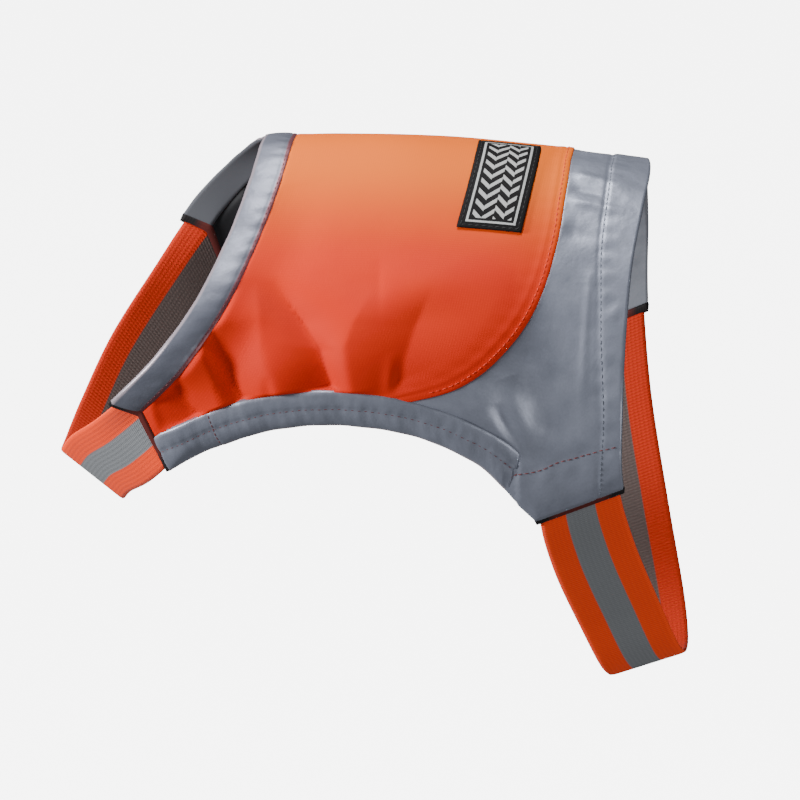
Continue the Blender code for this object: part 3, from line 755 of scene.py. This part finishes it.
# ---- Neck band ----
# A folded strip of the same grey cloth that binds the neck edge. Its fold makes a rounded edge, painted
# pale as a highlight, and one row of stitches holds it down beside the orange cloth.

NECK_CELLS = 210
NECK_ROWS = 12
NECK_STITCH = 13.5         # mm from the fold


def neck_outer(along, across):
    """Height of the neck band's outer side: full between its fold and its stitches."""
    full = 0.55 * np.sin(math.pi * np.clip(along / NECK_STITCH, 0, 1)) ** 0.8
    groove = 0.25 * bell(along - NECK_STITCH, 0.9)
    pucker = 0.09 * np.sin(across * COLUMN * 0.8) * bell(along - NECK_STITCH + 2, 4.0)
    wave = 0.12 * np.sin(across * 23 + along / 9) + 0.1 * np.sin(across * 61 + 1.3)
    return 1.1 + full - groove + pucker + wave


# The glass-bead cloth again, with a painted highlight: paler along the fold, where the rounded edge catches the
# light.
banded_grey = reflective_grey.copy()
banded_grey.name = "reflective_grey_painted_fold_highlight"
tree = banded_grey.node_tree
shader = tree.nodes["Principled BSDF"]
from_fold = add(tree, "ShaderNodeSeparateXYZ",
                {"Vector": add(tree, "ShaderNodeTexCoord").outputs["UV"]}).outputs["X"]
# Painted highlight: a pale pinkish grey mixed in along the fold.
painted_fold_highlight = add(tree, "ShaderNodeMapRange", {"Value": from_fold, "From Min": 0.2, "From Max": 1.4,
                                          "To Min": 0.75, "To Max": 0.0},
             interpolation_type="SMOOTHSTEP").outputs["Result"]
under = shader.inputs["Base Color"].links[0].from_socket
colour = add(tree, "ShaderNodeMix", {"Factor": painted_fold_highlight, "A": under, "B": srgb("#D3C3CB")},
             data_type="RGBA").outputs["Result"]
tree.links.new(colour, shader.inputs["Base Color"])

# The neck band's copy also has a painted shade along its stitches: a dark reddish line in the
# groove beside the orange cloth.
neck_grey = banded_grey.copy()
neck_grey.name = "reflective_grey_painted_seam_shade"
tree = neck_grey.node_tree
shader = tree.nodes["Principled BSDF"]
from_fold = add(tree, "ShaderNodeSeparateXYZ",
                {"Vector": add(tree, "ShaderNodeTexCoord").outputs["UV"]}).outputs["X"]
# Painted shade: dark red mixed in over the last mm before the stitches.
painted_seam_shade = add(tree, "ShaderNodeMapRange", {"Value": from_fold, "From Min": NECK_STITCH - 1.0,
                                            "From Max": NECK_STITCH, "To Min": 0.0, "To Max": 0.75},
               interpolation_type="SMOOTHSTEP").outputs["Result"]
face = shader.inputs["Base Color"].links[0].from_socket
# Painted shade: the whole face is darkened, a shaded copy of the cloth on the arch bands.
painted_shade_face = add(tree, "ShaderNodeMix", {"Factor": 1.0, "A": face, "B": (0.70, 0.69, 0.70, 1.0)},
           data_type="RGBA", blend_type="MULTIPLY").outputs["Result"]
colour = add(tree, "ShaderNodeMix", {"Factor": painted_seam_shade, "A": painted_shade_face, "B": srgb("#7E2F33")},
             data_type="RGBA").outputs["Result"]
tree.links.new(colour, shader.inputs["Base Color"])

# The band's inner half: the same cloth, painted darker as shade, for this side lies in shade inside the vest.
painted_shade_grey, tree, shader = new_material("reflective_grey_painted_shade", Roughness=0.75,
                                         Specular_IOR_Level=0.3)
shader.inputs["Base Color"].default_value = srgb("#54565C")

edge = line((0, 0), (0, 1.0), NECK_CELLS)
inner_edge = line((NECK_BAND, 0), (NECK_BAND, 1.0), NECK_CELLS)
share = np.linspace(0, 1, NECK_ROWS + 1)[:, None, None]
places = both_sides(edge * (1 - share) + inner_edge * share)
along, across = places[..., 0], places[..., 1]
neck_band = shell("neck_band_cloth", raised(along, across, neck_outer(along, across)),
                  raised(along, across, -1.1), np.stack((along, across * COLUMN), -1),
                  (neck_grey, painted_shade_grey))
neck_row = both_sides(line((NECK_STITCH, 0), (NECK_STITCH, 0.995), 200)[None])[0]
neck_stitches = stitch_row("neck_stitches", *skin_path(neck_row, neck_outer), brown_thread)
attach(neck_band, "root")
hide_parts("neck_band")


# ---- Arch bands ----
# Folded strips of grey cloth that bind the two leg arches. Each is stitched along its middle and
# runs from the chest strap to the casing of the belly strap.

ARCH_CELLS = 180
ARCH_ROWS = 14
BAND_LINE = 0.45           # share of the band's width, from its upper edge, to its stitches
ARCH_TACK = 0.17           # share of the band's length to the row of stitches across it


def arch_height(share, run):
    """Height of an arch band's outer side: full on both sides of its middle stitches."""
    middle = (share - BAND_LINE) * ARCH_BAND
    full = 0.4 * np.abs(np.sin(math.pi * np.where(middle < 0, share / BAND_LINE,
                                                  (share - BAND_LINE) / (1 - BAND_LINE))))
    groove = 0.3 * bell(middle, 0.8)
    pucker = 0.09 * np.sin(run * 240 * 0.8) * bell(middle, 5.0)
    wave = 0.15 * np.sin(run * 31 + share * 2) + 0.1 * np.sin(run * 67 + 2.0)
    tack = 0.3 * bell((run - ARCH_TACK) * 240, 1.0)
    return 1.1 + full - groove + pucker + wave - tack - 0.9 * ramp(run, 0.965, 1.0)


arch_rows = [spread(beside_arch(ARCH_BAND * (1 - k)), ARCH_CELLS) for k in np.linspace(0, 1, ARCH_ROWS + 1)[:-1]]
arch_rows = np.stack(arch_rows + [line((ARCH_START, 1.0), (BAND_END, 1.0), ARCH_CELLS)], 1)
middle_row = spread(beside_arch(ARCH_BAND * (1 - BAND_LINE)), ARCH_CELLS)
for side_name, side in (("left", -1), ("right", 1)):
    share = np.linspace(0, 1, ARCH_ROWS + 1)[None, :]
    run = np.linspace(0, 1, ARCH_CELLS + 1)[:, None]
    along, across = arch_rows[..., 0], arch_rows[..., 1] * side
    out = arch_height(share, run)
    flat = np.stack(((1 - share) * ARCH_BAND + 0 * run, run * 240 + 0 * share), -1)
    band = shell("arch_band_cloth_" + side_name, raised(along, across, out),
                 raised(along, across, -1.1), flat, (banded_grey,))
    path = raised(middle_row[:, 0], middle_row[:, 1] * side, arch_height(BAND_LINE, run[:, 0]))
    normals = cloth_normal(middle_row[:, 0], middle_row[:, 1] * side)
    middle_stitches = stitch_row("arch_stitches_" + side_name, path, normals, brown_thread)
    i = round(ARCH_TACK * ARCH_CELLS)
    path = raised(along[i], across[i], out[i])
    tack_stitches = stitch_row("arch_tack_" + side_name, path, cloth_normal(along[i], across[i]),
                               brown_thread, pitch=2.6, length=2.0)
    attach(band, "root")
    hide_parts("arch_band_" + side_name)


# ---- Straps ----
# Two pieces of 40 mm elastic webbing, orange with a woven grey reflective stripe. Each is sewn to
# one side of the vest, runs under the animal, and is sewn to the other side.

CHEST_CROSS = (30.5, -24.0)
BELLY_CROSS = (-36.0, -16.5)
WEBBING = 2.0
STRAP_INSET = 2.3
TAPE_GAP = 0.5
TAPE_SHOWS = 2.4
STRIPE = (12.3, 27.3)      # mm across the webbing
RIB = 1.6                  # mm between the webbing's ribs


def end_line(front, share):
    """Points on the edge that a strap hangs from, on the right side, from the ring inwards."""
    if not front:
        return TAIL_FOOT + (REAR_POINT - TAIL_FOOT) * share
    bend = BAND_LENGTH / (BAND_LENGTH + FRONT_LENGTH)
    neck = (BAND_FOOT - NECK_FOOT) * np.clip(share / bend, 0, 1)
    return NECK_FOOT + neck + (FRONT_POINT - BAND_FOOT) * np.clip((share - bend) / (1 - bend), 0, 1)


def strap_point(front, turn, share):
    """Middle of a strap's wall on the right side; turn runs from the cloth's corner to 180."""
    ring, corner, foot, point, cross = (
        (NECK_RING, NECK_CORNER, NECK_FOOT, FRONT_POINT, CHEST_CROSS) if front
        else (TAIL_RING, TAIL_CORNER, TAIL_FOOT, REAR_POINT, BELLY_CROSS))
    turn, share = np.broadcast_arrays(turn, share)
    turn, share = turn[..., None], share[..., None]
    gone = (turn - corner) / (180 - corner)
    ease = gone * gone * (3 - 2 * gone)
    under = np.array((cross[0], 0.0, cross[1]))
    width = (point - foot) * (1 - ease) + under * ease
    ruled = ring_point(ring, turn[..., 0]) + width * share
    start = end_line(front, share) - foot - (point - foot) * share
    fade = np.clip(1 - gone * 3, 0, 1) ** 2
    return ruled + start * fade


def turn_after(front, distance):
    """The turn at a distance in mm past the cloth's corner, along the ring."""
    ring, corner = (NECK_RING, NECK_CORNER) if front else (TAIL_RING, TAIL_CORNER)
    turns = np.linspace(corner, 180, 400)
    steps = np.linalg.norm(np.diff(ring_point(ring, turns), axis=0), axis=1)
    return np.interp(distance, np.concatenate(((0,), np.cumsum(steps))), turns)


def grid_normals(points):
    """Unit directions square to a grid of points."""
    normal = np.cross(np.gradient(points, axis=0), np.gradient(points, axis=1))
    return normal / np.linalg.norm(normal, axis=-1, keepdims=True)


# Knitted elastic: rubber cords under orange yarn, with ribs across it, and a stripe of grey
# reflective yarn. Ribs are 0.8 mm apart, drawn 1.6 mm apart so that they show.
elastic, tree, shader = new_material("orange_knitted_elastic", Roughness=0.75, Specular_IOR_Level=0.2,
                                     Sheen_Weight=0.05, Sheen_Roughness=0.5)
place = add(tree, "ShaderNodeTexCoord").outputs["UV"]
axes = add(tree, "ShaderNodeSeparateXYZ", {"Vector": place}).outputs
ribs = add(tree, "ShaderNodeTexWave", {"Vector": place, "Scale": math.pi / 10 / RIB},
           bands_direction="X").outputs["Fac"]
cords = add(tree, "ShaderNodeTexWave", {"Vector": place, "Scale": math.pi / 10 / 2.2},
            bands_direction="Y").outputs["Fac"]
middle = sum(STRIPE) / 2
from_middle = add(tree, "ShaderNodeMath", {0: axes["Y"], 1: middle}, operation="SUBTRACT").outputs[0]
from_middle = add(tree, "ShaderNodeMath", {0: from_middle}, operation="ABSOLUTE").outputs[0]
in_stripe = add(tree, "ShaderNodeMapRange",
                {"Value": from_middle, "From Min": STRIPE[1] - middle - 0.25,
                 "From Max": STRIPE[1] - middle + 0.25, "To Min": 1.0, "To Max": 0.0}).outputs["Result"]
yarn = add(tree, "ShaderNodeMix", {"Factor": ribs, "A": srgb("#F63E10"), "B": srgb("#FF501A")},
           data_type="RGBA").outputs["Result"]
grey_yarn = add(tree, "ShaderNodeMix", {"Factor": ribs, "A": srgb("#74777B"), "B": srgb("#808387")},
                data_type="RGBA").outputs["Result"]
colour = add(tree, "ShaderNodeMix", {"Factor": in_stripe, "A": yarn, "B": grey_yarn},
             data_type="RGBA").outputs["Result"]
tree.links.new(colour, shader.inputs["Base Color"])
knit = add(tree, "ShaderNodeMath", {0: ribs, 1: cords, 2: ribs}, operation="MULTIPLY_ADD").outputs[0]
bump = add(tree, "ShaderNodeBump", {"Height": knit, "Strength": 0.5, "Distance": 0.0003})
tree.links.new(bump.outputs["Normal"], shader.inputs["Normal"])

# The webbing's inner side: the same colours multiplied darker and redder, as painted shade.
elastic_inside = elastic.copy()
elastic_inside.name = "orange_elastic_inner_side"
tree = elastic_inside.node_tree
shader = tree.nodes["Principled BSDF"]
face = shader.inputs["Base Color"].links[0].from_socket
colour = add(tree, "ShaderNodeMix", {"Factor": 1.0, "A": face, "B": (0.6, 0.42, 0.36, 1.0)},
             data_type="RGBA", blend_type="MULTIPLY").outputs["Result"]
tree.links.new(colour, shader.inputs["Base Color"])

for name, front, cells, flat_length in (("chest_strap", True, 110, 0.25), ("belly_strap", False, 150, 0.36)):
    first = float(turn_after(front, TAPE_GAP))
    gone = np.linspace(0, 1, cells + 1)[:, None]
    foot, point = (NECK_FOOT, FRONT_POINT) if front else (TAIL_FOOT, REAR_POINT)
    inset = STRAP_INSET / np.linalg.norm(point - foot) * (1 - gone) ** 2
    share = np.linspace(0, 1, 25)[None]
    half = strap_point(front, first + (180 - first) * gone, inset + (1 - 2 * inset) * share)
    middle_points = np.concatenate((half, half[-2::-1] * (1, -1, 1)))
    normals = grid_normals(middle_points)
    from_middle = middle_points - middle_points.mean(axis=(0, 1))
    normals *= np.sign((normals * from_middle).sum())
    centre_line = middle_points[:, 12]
    steps = np.linalg.norm(np.diff(centre_line, axis=0), axis=1)
    reach = np.concatenate(((0,), np.cumsum(steps)))
    width = 40.0
    across_mm = share * width + 0 * reach[:, None]
    thick = WEBBING / 2 - 0.35 * bell(np.minimum(across_mm, width - across_mm), 1.2)
    thick = thick[..., None]
    outer = (middle_points + normals * thick - MIDDLE) * MM
    inner = (middle_points - normals * thick - MIDDLE) * MM
    flat = np.stack((reach[:, None] + 0 * share, across_mm), -1)
    strap = shell(name + "_webbing", outer, inner, flat, (elastic, elastic_inside))
    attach(strap, "root")
    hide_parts(name)


# ---- Strap tapes ----
# Narrow black polyester tape that closes each end of a strap's casing, where the webbing comes out.
# Its middle is painted dark maroon as the shade between the casing and the strap.

black_polyester, tree, shader = new_material("black_polyester_tape", Roughness=0.75,
                                             Specular_IOR_Level=0.3)
ribs = add(tree, "ShaderNodeTexWave", {"Vector": add(tree, "ShaderNodeTexCoord").outputs["UV"],
                                       "Scale": math.pi / 10 / 1.2}, bands_direction="Y").outputs["Fac"]
colour = add(tree, "ShaderNodeMix", {"Factor": ribs, "A": srgb("#0C0A0B"), "B": srgb("#1C1618")},
             data_type="RGBA").outputs["Result"]
across_tape = add(tree, "ShaderNodeSeparateXYZ",
                  {"Vector": add(tree, "ShaderNodeTexCoord").outputs["UV"]}).outputs["Y"]
from_middle = add(tree, "ShaderNodeMath", {0: across_tape, 1: 20.0}, operation="SUBTRACT").outputs[0]
from_middle = add(tree, "ShaderNodeMath", {0: from_middle}, operation="ABSOLUTE").outputs[0]
# Painted shade: the middle of the tape is mixed towards dark maroon, away from its black ends.
painted_maroon_shade = add(tree, "ShaderNodeMapRange", {"Value": from_middle, "From Min": 11.0, "From Max": 15.0,
                                           "To Min": 0.8, "To Max": 0.0}).outputs["Result"]
colour = add(tree, "ShaderNodeMix", {"Factor": painted_maroon_shade, "A": colour, "B": srgb("#5C1D18")},
             data_type="RGBA").outputs["Result"]
tree.links.new(colour, shader.inputs["Base Color"])
for name, front in (("chest", True), ("belly", False)):
    for side_name, side in (("left", -1), ("right", 1)):
        low = turn_after(front, np.array((-0.2, 0.6, TAPE_GAP + TAPE_SHOWS)))[:, None]
        low = np.maximum(low, NECK_CORNER if front else TAIL_CORNER)
        share = np.linspace(0, 1, 41)[None]
        middle_points = strap_point(front, low, share) * (1, side, 1)
        normals = grid_normals(strap_point(front, low + np.array((0, 1, 2))[:, None] * 0.5, share)
                               * (1, side, 1))
        outer = (middle_points + normals * 1.25 - MIDDLE) * MM
        inner = (middle_points - normals * 1.25 - MIDDLE) * MM
        flat = np.stack((low * 1.0 + 0 * share, share * 40 + 0 * low), -1)
        tape = shell(f"{name}_tape_{side_name}", outer, inner, flat, (black_polyester,))
        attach(tape, "root")
        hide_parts(f"{name}_tape_{side_name}")


# ---- Label ----
# A damask-woven label on the left of the spine: black, with a light grey line round it and rows of
# small slanted blocks inside. It is sewn down round its edge in black.

LABEL_ALONG = (103.0, 132.0)
LABEL_REACH = (-50.5, 13.0)
LABEL_THICK = 1.0
LABEL_CELLS = (24, 52)

woven_label, tree, shader = new_material("black_damask_label", Roughness=0.7, Specular_IOR_Level=0.15)
place = add(tree, "ShaderNodeTexCoord").outputs["UV"]
axes = add(tree, "ShaderNodeSeparateXYZ", {"Vector": place}).outputs


def math_node(operation, *values, **settings):
    return add(tree, "ShaderNodeMath", dict(enumerate(values)), operation=operation, **settings).outputs[0]


label_size = (LABEL_ALONG[1] - LABEL_ALONG[0], LABEL_REACH[1] - LABEL_REACH[0])
from_x = math_node("ABSOLUTE", math_node("SUBTRACT", axes["X"], label_size[0] / 2))
from_y = math_node("ABSOLUTE", math_node("SUBTRACT", axes["Y"], label_size[1] / 2))
to_edge = math_node("MINIMUM", math_node("SUBTRACT", label_size[0] / 2, from_x),
                    math_node("SUBTRACT", label_size[1] / 2, from_y))
FRAME_AT = (3.0, 4.1)      # mm from the label's edge to both sides of the grey line
FIELD_AT = 5.4
in_frame = math_node("MULTIPLY", math_node("GREATER_THAN", to_edge, FRAME_AT[0]),
                     math_node("LESS_THAN", to_edge, FRAME_AT[1]))
in_field = math_node("GREATER_THAN", to_edge, FIELD_AT)
row_step, block_step = 5.0, 6.4
row = math_node("FLOOR", math_node("DIVIDE", axes["X"], row_step))
slant = math_node("SUBTRACT", math_node("MULTIPLY", math_node("MODULO", row, 2.0), 2.0), 1.0)
leaning = math_node("MULTIPLY_ADD", axes["X"], slant, axes["Y"])
block = math_node("LESS_THAN", math_node("FRACT", math_node("DIVIDE", leaning, block_step)), 0.43)
light = math_node("MAXIMUM", in_frame, math_node("MULTIPLY", block, in_field))
yarn = add(tree, "ShaderNodeTexNoise", {"Vector": place, "Scale": 1.4, "Detail": 1.0}).outputs["Fac"]
dark = add(tree, "ShaderNodeMix", {"Factor": yarn, "A": srgb("#060607"), "B": srgb("#121113")},
           data_type="RGBA").outputs["Result"]
pale = add(tree, "ShaderNodeMix", {"Factor": yarn, "A": srgb("#9A9C9C"), "B": srgb("#CDCFCE")},
           data_type="RGBA").outputs["Result"]
colour = add(tree, "ShaderNodeMix", {"Factor": light, "A": dark, "B": pale}, data_type="RGBA")
tree.links.new(colour.outputs["Result"], shader.inputs["Base Color"])
bump = add(tree, "ShaderNodeBump", {"Height": light, "Strength": 0.3, "Distance": 0.0002})
tree.links.new(bump.outputs["Normal"], shader.inputs["Normal"])

middle = sum(LABEL_ALONG) / 2
column = np.linspace(-0.8, 0.8, 321)
steps = np.linalg.norm(np.diff(cloth_point(middle, column), axis=0), axis=1)
reach = np.concatenate(((0,), np.cumsum(steps)))
reach -= np.interp(0, column, reach)
rows = np.linspace(*LABEL_REACH, LABEL_CELLS[1] + 1)
across = np.interp(rows, reach, column)[None]
along = np.linspace(*LABEL_ALONG, LABEL_CELLS[0] + 1)[:, None]
along, across = np.broadcast_arrays(along, across)
flat = np.stack((along - LABEL_ALONG[0], rows[None] - LABEL_REACH[0] + 0 * along), -1)
edge_gap = np.minimum(np.minimum(flat[..., 0], label_size[0] - flat[..., 0]),
                      np.minimum(flat[..., 1], label_size[1] - flat[..., 1]))
out = back_outer(along, across) + 0.15 + LABEL_THICK * (1 - 0.35 * bell(edge_gap - 1.4, 0.9))
label = shell("label_cloth", raised(along, across, out), raised(along, across, out - LABEL_THICK * 0.9),
              flat, (woven_label,))
inset = 1.4
i = np.array((0, 1, 1, 0, 0))
frame_along = np.array((LABEL_ALONG[0] + inset, LABEL_ALONG[1] - inset))[i]
frame_reach = np.array((LABEL_REACH[0] + inset, LABEL_REACH[1] - inset))[np.array((0, 0, 1, 1, 0))]
frame_across = np.interp(frame_reach, reach, column)
sewn = np.stack([np.interp(np.linspace(0, 4, 240), range(5), values)
                 for values in (frame_along, frame_across)], -1)
black_thread, tree, shader = new_material("black_polyester_thread", Roughness=0.6)
shader.inputs["Base Color"].default_value = srgb("#1A1A1C")
path = raised(sewn[:, 0], sewn[:, 1], back_outer(sewn[:, 0], sewn[:, 1]) + 0.15 + LABEL_THICK * 0.7)
label_stitches = stitch_row("label_stitches", path, cloth_normal(sewn[:, 0], sewn[:, 1]), black_thread)
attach(label, "root")
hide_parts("label")


# ---- Floor, light and camera ----
# A pale floor well below the vest, which the wearer would hold up, a broad light from above, a
# weak one from the front, and the camera at the photograph's angle.

FLOOR = -1.15
floor_mesh = bpy.data.meshes.new("floor")
reach = 30.0
floor_mesh.from_pydata([(-reach, -reach, FLOOR), (reach, -reach, FLOOR), (reach, reach, FLOOR),
                        (-reach, reach, FLOOR)], [], [(0, 1, 2, 3)])
pale_floor, tree, shader = new_material("pale_matt_floor", Roughness=0.9, Specular_IOR_Level=0.1)
shader.inputs["Base Color"].default_value = srgb("#F7F7F7")
shader.inputs["Emission Color"].default_value = srgb("#FFFFFF")
shader.inputs["Emission Strength"].default_value = 6.0
floor_mesh.materials.append(pale_floor)
floor = bpy.data.objects.new("floor", floor_mesh)
bpy.context.scene.collection.objects.link(floor)
floor.visible_diffuse = False
floor.visible_glossy = False
floor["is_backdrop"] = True

world = bpy.data.worlds.new("studio")
world.use_nodes = True
world.node_tree.nodes["Background"].inputs["Color"].default_value = (1.0, 1.0, 1.0, 1.0)
world.node_tree.nodes["Background"].inputs["Strength"].default_value = 0.1
bpy.context.scene.world = world


def area_light(name, place, target, size, power):
    """A square light that faces a target."""
    data = bpy.data.lights.new(name, "AREA")
    data.size = size
    data.energy = power
    lamp = bpy.data.objects.new(name, data)
    lamp.location = place
    lamp.rotation_euler = (Vector(target) - Vector(place)).to_track_quat("-Z", "Y").to_euler()
    bpy.context.scene.collection.objects.link(lamp)


area_light("key", (-0.3, 0.4, 1.27), (0.0, 0.0, -0.05), 0.5, 28.0)
area_light("left", (-1.62, -0.58, 0.33), (0.0, 0.0, -0.1), 0.35, 54.0)
area_light("right", (1.0, -1.1, -0.35), (0.05, 0.0, -0.1), 0.5, 9.5)

AZIMUTH, ELEVATION = math.radians(6.9), math.radians(29.3)
AIM = Vector((-0.0256, 0.0, -0.1357))
DISTANCE = 1.8
VIEW_WIDTH = 0.392         # metres across the picture at the aim
camera_data = bpy.data.cameras.new("camera")
camera_data.sensor_width = 36.0
camera_data.lens = camera_data.sensor_width * DISTANCE / VIEW_WIDTH
camera = bpy.data.objects.new("camera", camera_data)
back = Vector((math.sin(AZIMUTH) * math.cos(ELEVATION), -math.cos(AZIMUTH) * math.cos(ELEVATION),
               math.sin(ELEVATION)))
camera.location = AIM + back * DISTANCE
camera.rotation_euler = (-back).to_track_quat("-Z", "Y").to_euler()
bpy.context.scene.collection.objects.link(camera)
bpy.context.scene.camera = camera

low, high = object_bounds()
